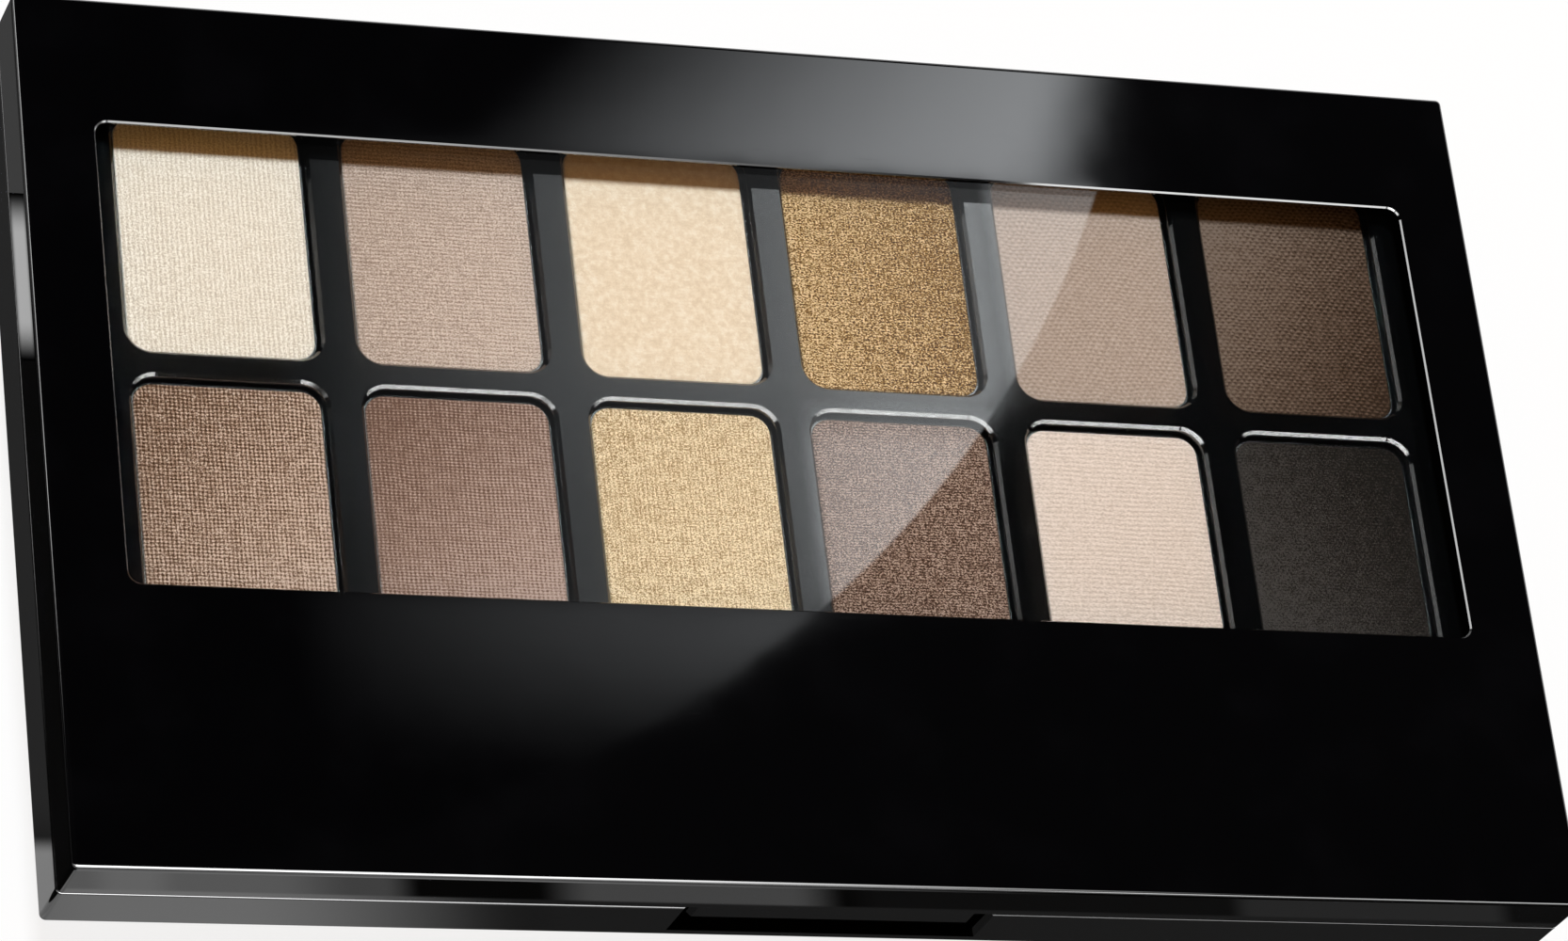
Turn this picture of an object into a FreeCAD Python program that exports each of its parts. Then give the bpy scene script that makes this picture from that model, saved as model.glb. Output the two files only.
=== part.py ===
import FreeCAD, Part
import os

# Eyeshadow palette: a flat hinged case with a window lid, two rows of pressed
# powders in metal pans, and a sponge applicator in a trough under the lid's front band.
# Millimetres. The origin is the centre of the base's underside and +Z is up.
# +X runs along the case to the right, and the front, where the lid lifts, is at -Y.

# Pans and powders
columns = 6
rows = 2
pan_width = 15.6
pan_length = 21.1
pan_height = 3.1
pan_corner_radius = 1.9
pan_wall = 0.15
pan_floor = 0.3
powder_side_gap = 0.02
powder_crown = 0.1
powder_edge_round = 0.3

# Pan tray
pan_clearance = 0.15
bar_between_columns = 2.95
bar_between_rows = 2.15
well_chamfer = 0.25
rim_drop = 1.0
well_wall = 0.8
well_floor = 0.8
tray_plate = 1.2
tray_skirt = 0.9
tray_skirt_lift = 0.3
tray_edge_round = 0.3
tray_side_margin = 6.275
tray_back_margin = 7.1
tray_front_margin = 2.55
tray_clearance = 0.15

# Applicator trough in the tray
trough_bar = 2.4
trough_width = 14.5
trough_length = 108.0
trough_corner_radius = 2.0
trough_lift = 0.4
trough_pad_position = 27.0
trough_pad_length = 7.5

# Case halves
wall = 1.5
floor_thickness = 1.2
rib_height = 2.05
rib_width = 3.2
base_height = 5.4
seam_gap = 0.2
lid_headroom = 0.85
lid_plate = 1.5
corner_radius = 0.5
inner_corner_radius = 1.0
outer_edge_round = 0.45
foot_edge_round = 0.2
seam_edge_round = 0.15
underside_groove_margin = 6.0
underside_groove_width = 0.8
underside_groove_depth = 0.3
underside_groove_radius = 2.0

# Window and pane
window_side_reveal = 2.0
window_back_cover = 2.25
window_front_cover = 2.4
window_corner_radius = 1.2
window_chamfer = 0.12
window_ledge = 0.3
pane_overlap = 1.2
pane_clearance = 0.1
pane_thickness = 0.9

# Hinge at the back
hinge_end_distance = 23.0
hinge_offset = 0.15
barrel_inset = 0.05
base_knuckle_length = 5.0
lid_knuckle_length = 8.0
knuckle_end_gap = 0.15
knuckle_clearance = 0.2
pin_radius = 0.6
pin_running_clearance = 0.05

# Thumb notch, lift tab and snap catch at the front
notch_width = 25.2
notch_sill = 0.9
notch_bevel = 0.4
tab_side_gap = 0.6
tab_hang = 2.6
tab_setback = 0.35
tab_back_setback = 0.15
tab_gap = 0.3
pocket_wall = 1.0
catch_length = 14.0
catch_radius = 0.14
tab_bead_height = 0.5
ridge_depth = 1.1

# Applicator
handle_radius = 1.5
handle_length = 46.0
collar_radius = 1.9
collar_length = 2.4
collar_taper = 0.5
peg_radius = 0.9
peg_length = 6.0
sponge_length = 15.0
sponge_half_width = 3.1
sponge_root_radius = 1.9
sponge_thickness = 3.2
sponge_floor_gap = 0.3
sponge_wall_gap = 0.8
saddle_position = 14.0
saddle_length = 3.0
saddle_wall = 1.2
saddle_clearance = 0.05

# Sizes that follow from the ones above
well_width = pan_width + 2 * pan_clearance
well_length = pan_length + 2 * pan_clearance
well_radius = pan_corner_radius + pan_clearance
pitch_x = well_width + bar_between_columns
pitch_y = well_length + bar_between_rows
block_width = columns * well_width + (columns - 1) * bar_between_columns
block_length = rows * well_length + (rows - 1) * bar_between_rows

tray_width = block_width + 2 * tray_side_margin
tray_depth = tray_back_margin + block_length + trough_bar + trough_width + tray_front_margin
tray_radius = inner_corner_radius - tray_clearance
inner_width = tray_width + 2 * tray_clearance
inner_depth = tray_depth + 2 * tray_clearance
case_width = inner_width + 2 * wall
case_depth = inner_depth + 2 * wall

well_underside_z = floor_thickness + rib_height
well_floor_z = well_underside_z + well_floor
rim_z = well_floor_z + pan_height
tray_top_z = rim_z + rim_drop
lid_underside_z = tray_top_z + lid_headroom
case_height = lid_underside_z + lid_plate
lid_bottom_z = base_height + seam_gap
trough_underside_z = floor_thickness + trough_lift
trough_floor_z = trough_underside_z + well_floor

front_y = -case_depth / 2
block_back_y = tray_depth / 2 - tray_back_margin
block_front_y = block_back_y - block_length
block_center_y = (block_back_y + block_front_y) / 2
trough_back_y = block_front_y - trough_bar
trough_center_y = trough_back_y - trough_width / 2

window_width = block_width + 2 * window_side_reveal
window_depth = block_length - window_back_cover - window_front_cover
window_center_y = block_center_y + (window_front_cover - window_back_cover) / 2
pane_top_z = case_height - window_ledge

hinge_station = case_width / 2 - hinge_end_distance
hinge_y = case_depth / 2 + hinge_offset
hinge_z = base_height + seam_gap / 2
barrel_radius = wall + hinge_offset - barrel_inset
hinge_span = lid_knuckle_length + 2 * (base_knuckle_length + knuckle_end_gap)

tab_front_y = front_y + tab_setback
tab_back_y = front_y + wall - tab_back_setback
pocket_front_y = tab_back_y + tab_gap
pocket_back_y = pocket_front_y + pocket_wall

applicator_y = trough_back_y - sponge_wall_gap - sponge_half_width
applicator_z = trough_floor_z + sponge_floor_gap + sponge_thickness / 2

# Room that cutting shapes take beyond the face they open through, how far ribs are
# sunk into the floor they grow from, and how near two heights count as one
overcut = 1.0
sink = 0.5
same_height = 0.001

Vector = FreeCAD.Vector
UP = Vector(0, 0, 1)
ALONG_X = Vector(1, 0, 0)


def rounded_outline(width, depth, radius, z, x=0.0, y=0.0):
    """Closed wire of a rectangle with round corners, centred on (x, y) at height z."""
    reach_x = width / 2 - radius
    reach_y = depth / 2 - radius
    quarter_turns = [(reach_x, reach_y), (-reach_x, reach_y), (-reach_x, -reach_y), (reach_x, -reach_y)]
    arcs = []
    for turn, (corner_x, corner_y) in enumerate(quarter_turns):
        center = Vector(x + corner_x, y + corner_y, z)
        arcs.append(Part.makeCircle(radius, center, UP, 90 * turn, 90 * (turn + 1)))
    edges = []
    for turn, arc in enumerate(arcs):
        following = arcs[(turn + 1) % len(arcs)]
        edges.append(arc)
        edges.append(Part.makeLine(arc.lastVertex().Point, following.firstVertex().Point))
    return Part.Wire(edges)


def prism(width, depth, radius, bottom, top, x=0.0, y=0.0):
    """Upright block with round corners."""
    face = Part.Face(rounded_outline(width, depth, radius, bottom, x, y))
    return face.extrude(Vector(0, 0, top - bottom))


def flare(width, depth, radius, growth, bottom, top, x=0.0, y=0.0):
    """Block that widens by growth on every side from bottom to top."""
    low = rounded_outline(width, depth, radius, bottom, x, y)
    high = rounded_outline(width + 2 * growth, depth + 2 * growth, radius + growth, top, x, y)
    return Part.makeLoft([low, high], True, True)


def block(x_low, x_high, y_low, y_high, z_low, z_high):
    """Sharp-edged box between two corners."""
    return Part.makeBox(x_high - x_low, y_high - y_low, z_high - z_low, Vector(x_low, y_low, z_low))


def rod(radius, x_low, x_high, y, z):
    """Round rod along X."""
    return Part.makeCylinder(radius, x_high - x_low, Vector(x_low, y, z), ALONG_X)


def plan_prism(points, bottom, top):
    """Upright block over a plan outline given as (x, y) points."""
    corners = [Vector(x, y, bottom) for x, y in points]
    face = Part.Face(Part.makePolygon(corners + corners[:1]))
    return face.extrude(Vector(0, 0, top - bottom))


def edges_at(shape, height):
    """Edges of a shape that lie flat at one height."""
    found = []
    for edge in shape.Edges:
        box = edge.BoundBox
        if abs(box.ZMin - height) < same_height and abs(box.ZMax - height) < same_height:
            found.append(edge)
    return found


def round_edges_at(shape, height, radius):
    """Round over every edge that lies at one height."""
    return shape.makeFillet(radius, edges_at(shape, height))


def pan_centers():
    """Centres of the pans, back row first, each row from left to right."""
    centers = []
    for row in range(rows):
        y = block_back_y - well_length / 2 - row * pitch_y
        for column in range(columns):
            x = (column - (columns - 1) / 2) * pitch_x
            centers.append((x, y))
    return centers


def hinge_knuckles():
    """Spans along X of the base knuckles and of the lid knuckles, over both hinge stations."""
    base_spans = []
    lid_spans = []
    for side in (-1, 1):
        middle = side * hinge_station
        lid_half = lid_knuckle_length / 2
        outer = lid_half + knuckle_end_gap
        lid_spans.append((middle - lid_half, middle + lid_half))
        base_spans.append((middle - outer - base_knuckle_length, middle - outer))
        base_spans.append((middle + outer, middle + outer + base_knuckle_length))
    return base_spans, lid_spans


def hinge_rods(spans, radius, end_room=0.0):
    """Round rods on the hinge axis over the given spans, lengthened by end_room at both ends."""
    return [rod(radius, low - end_room, high + end_room, hinge_y, hinge_z) for low, high in spans]


def hinge_half(half, own_spans, other_spans, bore_radius):
    """One half of the case with room for the other half's knuckles, and its own bored knuckles."""
    half = half.cut(hinge_rods(other_spans, barrel_radius + knuckle_clearance, knuckle_end_gap))
    half = half.fuse(hinge_rods(own_spans, barrel_radius))
    return half.cut(hinge_rods(own_spans, bore_radius, knuckle_end_gap))


def make_underside_groove():
    """Shallow groove that frames a plain panel on the underside."""
    outer_width = case_width - 2 * underside_groove_margin
    outer_depth = case_depth - 2 * underside_groove_margin
    panel_width = outer_width - 2 * underside_groove_width
    panel_depth = outer_depth - 2 * underside_groove_width
    panel_radius = underside_groove_radius - underside_groove_width
    outside = prism(outer_width, outer_depth, underside_groove_radius, -overcut, underside_groove_depth)
    panel = prism(panel_width, panel_depth, panel_radius, -2 * overcut, 2 * overcut)
    return outside.cut(panel)


def make_base_shell():
    """Lower half of the case, with tray ribs, thumb notch and its share of the hinge."""
    base_spans, lid_spans = hinge_knuckles()
    shell = prism(case_width, case_depth, corner_radius, 0, base_height)
    shell = round_edges_at(shell, 0, foot_edge_round)
    shell = round_edges_at(shell, base_height, seam_edge_round)
    cavity = prism(inner_width, inner_depth, inner_corner_radius, floor_thickness, base_height + overcut)
    shell = shell.cut(cavity)

    shell = shell.cut(make_underside_groove())

    root_z = floor_thickness - sink
    additions = []
    for boundary in range(columns + 1):
        x = (boundary - columns / 2) * pitch_x
        low = x - rib_width / 2
        additions.append(block(low, low + rib_width, block_front_y, block_back_y, root_z, well_underside_z))
    for side in (-1, 1):
        low = side * trough_pad_position - rib_width / 2
        pad_front_y = trough_center_y - trough_pad_length / 2
        pad_back_y = pad_front_y + trough_pad_length
        additions.append(block(low, low + rib_width, pad_front_y, pad_back_y, root_z, trough_underside_z))
    pocket_reach = notch_width / 2 + pocket_wall
    pocket_root_y = front_y + wall - sink
    additions.append(block(-pocket_reach, pocket_reach, pocket_root_y, pocket_back_y, root_z, base_height))
    shell = shell.fuse(additions)

    half = notch_width / 2
    notch_plan = [
        (-half - notch_bevel - overcut, front_y - overcut),
        (-half - notch_bevel, front_y),
        (-half, front_y + notch_bevel),
        (-half, pocket_front_y),
        (half, pocket_front_y),
        (half, front_y + notch_bevel),
        (half + notch_bevel, front_y),
        (half + notch_bevel + overcut, front_y - overcut),
    ]
    shell = shell.cut(plan_prism(notch_plan, notch_sill, base_height + overcut))
    ridge_z = base_height - ridge_depth
    ridge = rod(catch_radius, -catch_length / 2, catch_length / 2, pocket_front_y, ridge_z)
    shell = shell.fuse(ridge)

    return hinge_half(shell, base_spans, lid_spans, pin_radius).removeSplitter()


def make_lid_frame():
    """Upper half of the case, with the window, lift tab and its share of the hinge."""
    base_spans, lid_spans = hinge_knuckles()
    frame = prism(case_width, case_depth, corner_radius, lid_bottom_z, case_height)
    frame = round_edges_at(frame, case_height, outer_edge_round)
    frame = round_edges_at(frame, lid_bottom_z, seam_edge_round)
    cavity = prism(inner_width, inner_depth, inner_corner_radius, lid_bottom_z - overcut, lid_underside_z)

    window = prism(
        window_width - 2 * window_chamfer,
        window_depth - 2 * window_chamfer,
        window_corner_radius - window_chamfer,
        lid_underside_z - overcut,
        case_height + overcut,
        y=window_center_y,
    )
    chamfer = flare(
        window_width - 2 * window_chamfer,
        window_depth - 2 * window_chamfer,
        window_corner_radius - window_chamfer,
        window_chamfer,
        case_height - window_chamfer,
        case_height,
        y=window_center_y,
    )
    rebate = prism(
        window_width + 2 * pane_overlap,
        window_depth + 2 * pane_overlap,
        window_corner_radius + pane_overlap,
        lid_underside_z - overcut,
        pane_top_z,
        y=window_center_y,
    )
    frame = frame.cut([cavity, window, chamfer, rebate])

    half = notch_width / 2 - tab_side_gap
    tab_plan = [
        (-half + notch_bevel, tab_front_y),
        (-half, tab_front_y + notch_bevel),
        (-half, tab_back_y),
        (half, tab_back_y),
        (half, tab_front_y + notch_bevel),
        (half - notch_bevel, tab_front_y),
    ]
    tab_bottom_z = lid_bottom_z - tab_hang
    tab = plan_prism(tab_plan, tab_bottom_z, lid_bottom_z + wall)
    bead_z = tab_bottom_z + tab_bead_height
    bead = rod(catch_radius, -catch_length / 2, catch_length / 2, tab_back_y, bead_z)
    frame = frame.fuse([tab, bead])

    bore_radius = pin_radius + pin_running_clearance
    return hinge_half(frame, lid_spans, base_spans, bore_radius).removeSplitter()


def make_window_pane():
    """Clear sheet that sits in the lid's rebate, against the ledge around the window."""
    return prism(
        window_width + 2 * (pane_overlap - pane_clearance),
        window_depth + 2 * (pane_overlap - pane_clearance),
        window_corner_radius + pane_overlap - pane_clearance,
        pane_top_z - pane_thickness,
        pane_top_z,
        y=window_center_y,
    )


def make_pan_tray():
    """Moulded insert with a well for each pan and a trough for the applicator."""
    tray = prism(tray_width, tray_depth, tray_radius, floor_thickness + tray_skirt_lift, tray_top_z)
    tray = round_edges_at(tray, tray_top_z, tray_edge_round)
    plate_underside_z = tray_top_z - tray_plate
    hollow = prism(
        tray_width - 2 * tray_skirt,
        tray_depth - 2 * tray_skirt,
        tray_radius,
        -overcut,
        plate_underside_z,
    )
    tray = tray.cut(hollow)

    cup_top_z = tray_top_z - tray_plate / 2
    cups = []
    wells = []
    for x, y in pan_centers():
        cups.append(
            prism(
                well_width + 2 * well_wall,
                well_length + 2 * well_wall,
                well_radius + well_wall,
                well_underside_z,
                cup_top_z,
                x,
                y,
            )
        )
        wells.append(prism(well_width, well_length, well_radius, well_floor_z, tray_top_z + overcut, x, y))
        mouth_z = tray_top_z - well_chamfer
        wells.append(flare(well_width, well_length, well_radius, well_chamfer, mouth_z, tray_top_z, x, y))
    cups.append(
        prism(
            trough_length + 2 * well_wall,
            trough_width + 2 * well_wall,
            trough_corner_radius + well_wall,
            trough_underside_z,
            cup_top_z,
            y=trough_center_y,
        )
    )
    trough = prism(
        trough_length,
        trough_width,
        trough_corner_radius,
        trough_floor_z,
        tray_top_z + overcut,
        y=trough_center_y,
    )
    trough_mouth = flare(
        trough_length,
        trough_width,
        trough_corner_radius,
        well_chamfer,
        tray_top_z - well_chamfer,
        tray_top_z,
        y=trough_center_y,
    )
    tray = tray.fuse(cups).cut(wells + [trough, trough_mouth])

    saddles = []
    seats = []
    saddle_front_y = applicator_y - handle_radius - saddle_wall
    saddle_back_y = trough_back_y + well_wall / 2
    seat_radius = handle_radius + saddle_clearance
    seat_z = applicator_z + saddle_clearance
    for side in (-1, 1):
        low = side * saddle_position - saddle_length / 2
        high = low + saddle_length
        saddles.append(block(low, high, saddle_front_y, saddle_back_y, trough_underside_z, applicator_z))
        seats.append(rod(seat_radius, low - overcut, high + overcut, applicator_y, seat_z))
    tray = tray.fuse(saddles).cut(seats)

    room = notch_width / 2 + pocket_wall + tray_clearance
    pocket_room = block(
        -room,
        room,
        front_y - overcut,
        pocket_back_y + tray_clearance,
        -overcut,
        base_height + tray_clearance,
    )
    return tray.cut(pocket_room).removeSplitter()


def make_pan(x, y):
    """Thin stamped metal pan, open at the top."""
    outside = prism(pan_width, pan_length, pan_corner_radius, well_floor_z, rim_z, x, y)
    inside = prism(
        pan_width - 2 * pan_wall,
        pan_length - 2 * pan_wall,
        pan_corner_radius - pan_wall,
        well_floor_z + pan_floor,
        rim_z + overcut,
        x,
        y,
    )
    return outside.cut(inside)


def make_powder(x, y):
    """Pressed powder that fills a pan and stands a little proud of its rim."""
    inset = pan_wall + powder_side_gap
    top_z = rim_z + powder_crown
    cake = prism(
        pan_width - 2 * inset,
        pan_length - 2 * inset,
        pan_corner_radius - inset,
        well_floor_z + pan_floor,
        top_z,
        x,
        y,
    )
    return round_edges_at(cake, top_z, powder_edge_round)


def make_hinge_pin(side):
    """Steel pin through one hinge station, pressed into the base's two knuckles."""
    middle = side * hinge_station
    return rod(pin_radius, middle - hinge_span / 2, middle + hinge_span / 2, hinge_y, hinge_z)


def turned(profile):
    """Solid of revolution about the applicator's axis from (x, radius) points on the profile."""
    corners = [Vector(x, applicator_y + radius, applicator_z) for x, radius in profile]
    face = Part.Face(Part.makePolygon(corners + corners[:1]))
    return face.revolve(Vector(0, applicator_y, applicator_z), ALONG_X, 360)


def make_applicator_handle():
    """Slim stick with a collar and a peg for a sponge tip at each end."""
    half = handle_length / 2
    shoulder = half - collar_length
    right_side = [
        (shoulder - collar_taper, handle_radius),
        (shoulder, collar_radius),
        (half, collar_radius),
        (half, peg_radius),
        (half + peg_length, peg_radius),
        (half + peg_length, 0),
    ]
    left_side = [(-x, radius) for x, radius in reversed(right_side)]
    return turned(left_side + right_side)


def make_sponge_tip(side):
    """Flattened almond of foam on one end of the handle."""
    root_x = side * handle_length / 2
    tip_x = root_x + side * sponge_length
    middle_x = (root_x + tip_x) / 2

    def at(x, radius):
        return Vector(x, applicator_y + radius, applicator_z)

    shoulder = at(root_x, sponge_root_radius)
    bulge = Part.Arc(shoulder, at(middle_x, sponge_half_width), at(tip_x, 0)).toShape()
    axis = Part.makeLine(at(tip_x, 0), at(root_x, 0))
    root = Part.makeLine(at(root_x, 0), shoulder)
    face = Part.Face(Part.Wire([bulge, axis, root]))
    almond = face.revolve(at(root_x, 0), ALONG_X, 360)
    slab = block(
        min(root_x, tip_x) - overcut,
        max(root_x, tip_x) + overcut,
        applicator_y - sponge_half_width - overcut,
        applicator_y + sponge_half_width + overcut,
        applicator_z - sponge_thickness / 2,
        applicator_z + sponge_thickness / 2,
    )
    peg_end_x = root_x + side * peg_length
    socket = rod(peg_radius, min(root_x, peg_end_x), max(root_x, peg_end_x), applicator_y, applicator_z)
    return almond.common(slab).cut(socket)


def make_nodes():
    """Every piece of the palette under its node name."""
    nodes = {
        "base_shell": make_base_shell(),
        "pan_tray": make_pan_tray(),
        "lid_frame": make_lid_frame(),
        "window_pane": make_window_pane(),
        "hinge_pin_left": make_hinge_pin(-1),
        "hinge_pin_right": make_hinge_pin(1),
        "applicator_handle": make_applicator_handle(),
        "sponge_tip_left": make_sponge_tip(-1),
        "sponge_tip_right": make_sponge_tip(1),
    }
    for number, (x, y) in enumerate(pan_centers(), start=1):
        nodes[f"pan_{number:02d}"] = make_pan(x, y)
        nodes[f"powder_{number:02d}"] = make_powder(x, y)
    return nodes


os.makedirs("parts", exist_ok=True)
for name, shape in make_nodes().items():
    shape.exportStep(f"parts/{name}.step")
    print(name, shape.isValid(), len(shape.Solids), round(shape.Volume, 2))
print("case", round(case_width, 3), round(case_depth, 3), round(case_height, 3))
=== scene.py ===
import math
import random

import bmesh
import bpy
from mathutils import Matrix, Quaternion, Vector


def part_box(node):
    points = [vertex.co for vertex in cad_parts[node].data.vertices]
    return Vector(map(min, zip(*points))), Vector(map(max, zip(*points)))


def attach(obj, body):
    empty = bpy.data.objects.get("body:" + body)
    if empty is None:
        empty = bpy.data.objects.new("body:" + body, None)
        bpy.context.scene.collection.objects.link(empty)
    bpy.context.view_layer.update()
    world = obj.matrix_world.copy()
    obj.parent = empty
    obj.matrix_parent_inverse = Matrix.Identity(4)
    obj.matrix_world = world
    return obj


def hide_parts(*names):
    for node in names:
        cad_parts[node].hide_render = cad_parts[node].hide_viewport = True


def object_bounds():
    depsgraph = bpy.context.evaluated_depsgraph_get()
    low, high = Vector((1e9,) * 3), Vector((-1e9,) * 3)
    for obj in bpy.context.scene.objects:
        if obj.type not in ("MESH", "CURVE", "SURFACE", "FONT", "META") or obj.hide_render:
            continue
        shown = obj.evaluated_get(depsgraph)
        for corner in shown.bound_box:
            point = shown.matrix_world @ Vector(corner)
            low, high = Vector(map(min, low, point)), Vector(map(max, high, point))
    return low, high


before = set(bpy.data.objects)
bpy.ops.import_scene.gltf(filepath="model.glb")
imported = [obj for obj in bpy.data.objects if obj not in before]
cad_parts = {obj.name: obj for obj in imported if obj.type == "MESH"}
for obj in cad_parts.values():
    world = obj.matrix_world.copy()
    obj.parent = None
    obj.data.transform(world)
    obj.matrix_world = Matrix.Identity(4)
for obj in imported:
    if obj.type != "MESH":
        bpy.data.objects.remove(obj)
cad_box = [list(corner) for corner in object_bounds()]

MM = 0.001
TURN = 2 * math.pi

# Camera: a long lens above the front left corner, rolled so that the case's long side runs nearly level
CAMERA_PLACE = Vector((-0.17734, -0.21167, 0.42975))
CAMERA_TARGET = Vector((0.00005, 0.00124, 0.005))
CAMERA_ROLL = math.radians(37.74)
CAMERA_LENS = 143.69
CAMERA_SENSOR = 36.0
CAMERA_NEAREST = 0.01

# Key lamp: high up and a little behind the case, so the window's back edge shades the back row
KEY_DIRECTION = Vector((0.0, 0.3, 1.0))
KEY_DISTANCE = 1.25
KEY_SIZE = 0.22
KEY_LEVEL = 1.06
KEY_COLOUR = (0.87, 0.94, 1.0)

# Surroundings: a white wall under a dark ceiling, with one dark gap to the left and one to the front right
# that shows only in a first mirroring, and a weak warm fill light from all round. The wall goes dark between
# its foot and its top, which are sines of the elevation. A gap is two azimuths and the softness of its ends,
# in degrees
WALL_FOOT = 0.20
WALL_TOP = 0.35
WALL_GAP = (-117.5, -95.0, 1.0)
WALL_FRONT_GAP = (22.0, 70.0, 5.0)
CEILING_BRIGHTNESS = 0.005
FILL_LEVEL = 0.32
FILL_COLOUR = (1.0, 0.53, 0.17, 1.0)

# Floor: shown mostly as plain white, with the rest lit so that the case keeps a faint shadow
FLOOR_HALF_SIZE = 4.0
FLOOR_DROP = 0.05 * MM
FLOOR_COLOUR = (0.86, 0.86, 0.86, 1.0)
FLOOR_PLAIN_SHARE = 0.85

# Round dish lamp that mirrors in the lid, the window and the tray. Its glow grows from left to right and
# dies away at its foot, with a brighter spot at its front right. The window's faces show its right side and
# that spot in full and only a small share of the rest, which the tray under the window makes up for with a
# share that rises to the back. Its top, which the lid's back band shows, is brighter and has a soft rim
DISH_CENTRE = Vector((0.32, 1.06, 1.5))
DISH_RADIUS = 0.482
DISH_RIM = 0.002
DISH_LEFT = 0.43
DISH_SLOPE = 3.6
DISH_RIGHT = (0.62, 0.67)
DISH_RIGHT_GLOW = 0.50
DISH_SPOT_LEFT = (0.626, 0.637)
DISH_SPOT_TOP = (0.755, 0.772)
DISH_SPOT_GLOW = 1.12
DISH_VEIL_LEFT = (0.712, 0.719)
DISH_VEIL_TOP = (0.770, 0.778)
DISH_WINDOW = (0.687, 0.691)
DISH_WINDOW_SHARE = 0.3
DISH_TRAY_SHARE = 1.2
DISH_TRAY_GAIN = 0.65
DISH_TRAY_RISE = (0.70, 0.80)
DISH_FOOT = (0.62, 0.69)
DISH_TOP = (0.8712, 0.8735)
DISH_TOP_GLOW = 3.0
DISH_TOP_LEFT = (0.50, 0.735)
DISH_TOP_RIM = 0.038
DISH_TINT = (0.94, 0.97, 1.0, 1.0)

# Softboxes that draw the bright lines on the front edge and on edges that face left, each aimed at the case
# from an azimuth, counted from the front to the right, and an elevation, with its width and height as angles
# in degrees. later is the share of its glow that shows through the window or in a second mirroring
BOX_DISTANCE = 1.2
FRONT_BOX = {
    "azimuth": -6.0,
    "elevation": 50.0,
    "width": 60.0,
    "height": 46.0,
    "glow": 18.0,
    "soft": 0.5,
    "later": 0.0,
}
SIDE_BOX = {
    "azimuth": -125.0,
    "elevation": 26.0,
    "width": 20.0,
    "height": 10.0,
    "glow": 6.0,
    "soft": 0.2,
    "later": 0.18,
}

# Part of a thin hoop of light, tilted down to the back right, that the slanted rims of the wells show, with
# a short gap that leaves the rim of the first well dark. The span and gap are azimuths in degrees. It is meant
# for what lies under the window, but the outer gloss still shows some of it
HOOP_AXIS = (0.273, 0.335, 0.902)
HOOP_REACH = (0.12, 0.30)
HOOP_SOFT = 0.03
HOOP_SPAN = (-80.0, 95.0)
HOOP_SPAN_SOFT = 6.0
HOOP_GAP = (15.8, 18.2)
HOOP_GAP_SOFT = 0.3
HOOP_GLOW = 9.0

# Small bright card on the floor that shows in the lid's left wall
GLINT_CENTRE = Vector((-65.15, 17.6, 0.05)) * MM
GLINT_SIZE = (1.5 * MM, 15 * MM)
GLINT_GLOW = 1.2
GLINT_SOFT = 0.5
GLINT_LATER = 0.0

# How often a ray was bent or mirrored when it leaves the outer gloss, the window's lower face and the tray
OUTER_TURNS = 1
WINDOW_TURNS = 3
TRAY_TURNS = 5


class Field:
    """A shader socket that takes part in Python arithmetic; each operation adds a Math node."""

    def __init__(self, finish, socket):
        self.finish = finish
        self.socket = socket

    def math(self, operation, *values):
        return self.finish.node("ShaderNodeMath", {"operation": operation}, dict(enumerate(values)))

    def __add__(self, other):
        return self.math("ADD", self, other)

    def __radd__(self, other):
        return self.math("ADD", other, self)

    def __sub__(self, other):
        return self.math("SUBTRACT", self, other)

    def __rsub__(self, other):
        return self.math("SUBTRACT", other, self)

    def __mul__(self, other):
        return self.math("MULTIPLY", self, other)

    def __rmul__(self, other):
        return self.math("MULTIPLY", other, self)

    def __truediv__(self, other):
        return self.math("DIVIDE", self, other)

    def __pow__(self, other):
        return self.math("POWER", self, other)

    def __abs__(self):
        return self.math("ABSOLUTE", self)

    def sine(self):
        return self.math("SINE", self)

    def turn_from(self, other):
        """Angle in radians of the point whose far side is this field and near side the other."""
        return self.math("ARCTAN2", self, other)

    def larger(self, other):
        return self.math("MAXIMUM", self, other)

    def smooth(self, low, high):
        """0 below low and 1 above high, with a soft step between them."""
        return self.finish.node(
            "ShaderNodeMapRange",
            {"interpolation_type": "SMOOTHSTEP"},
            {"Value": self, "From Min": low, "From Max": high},
        )


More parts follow.
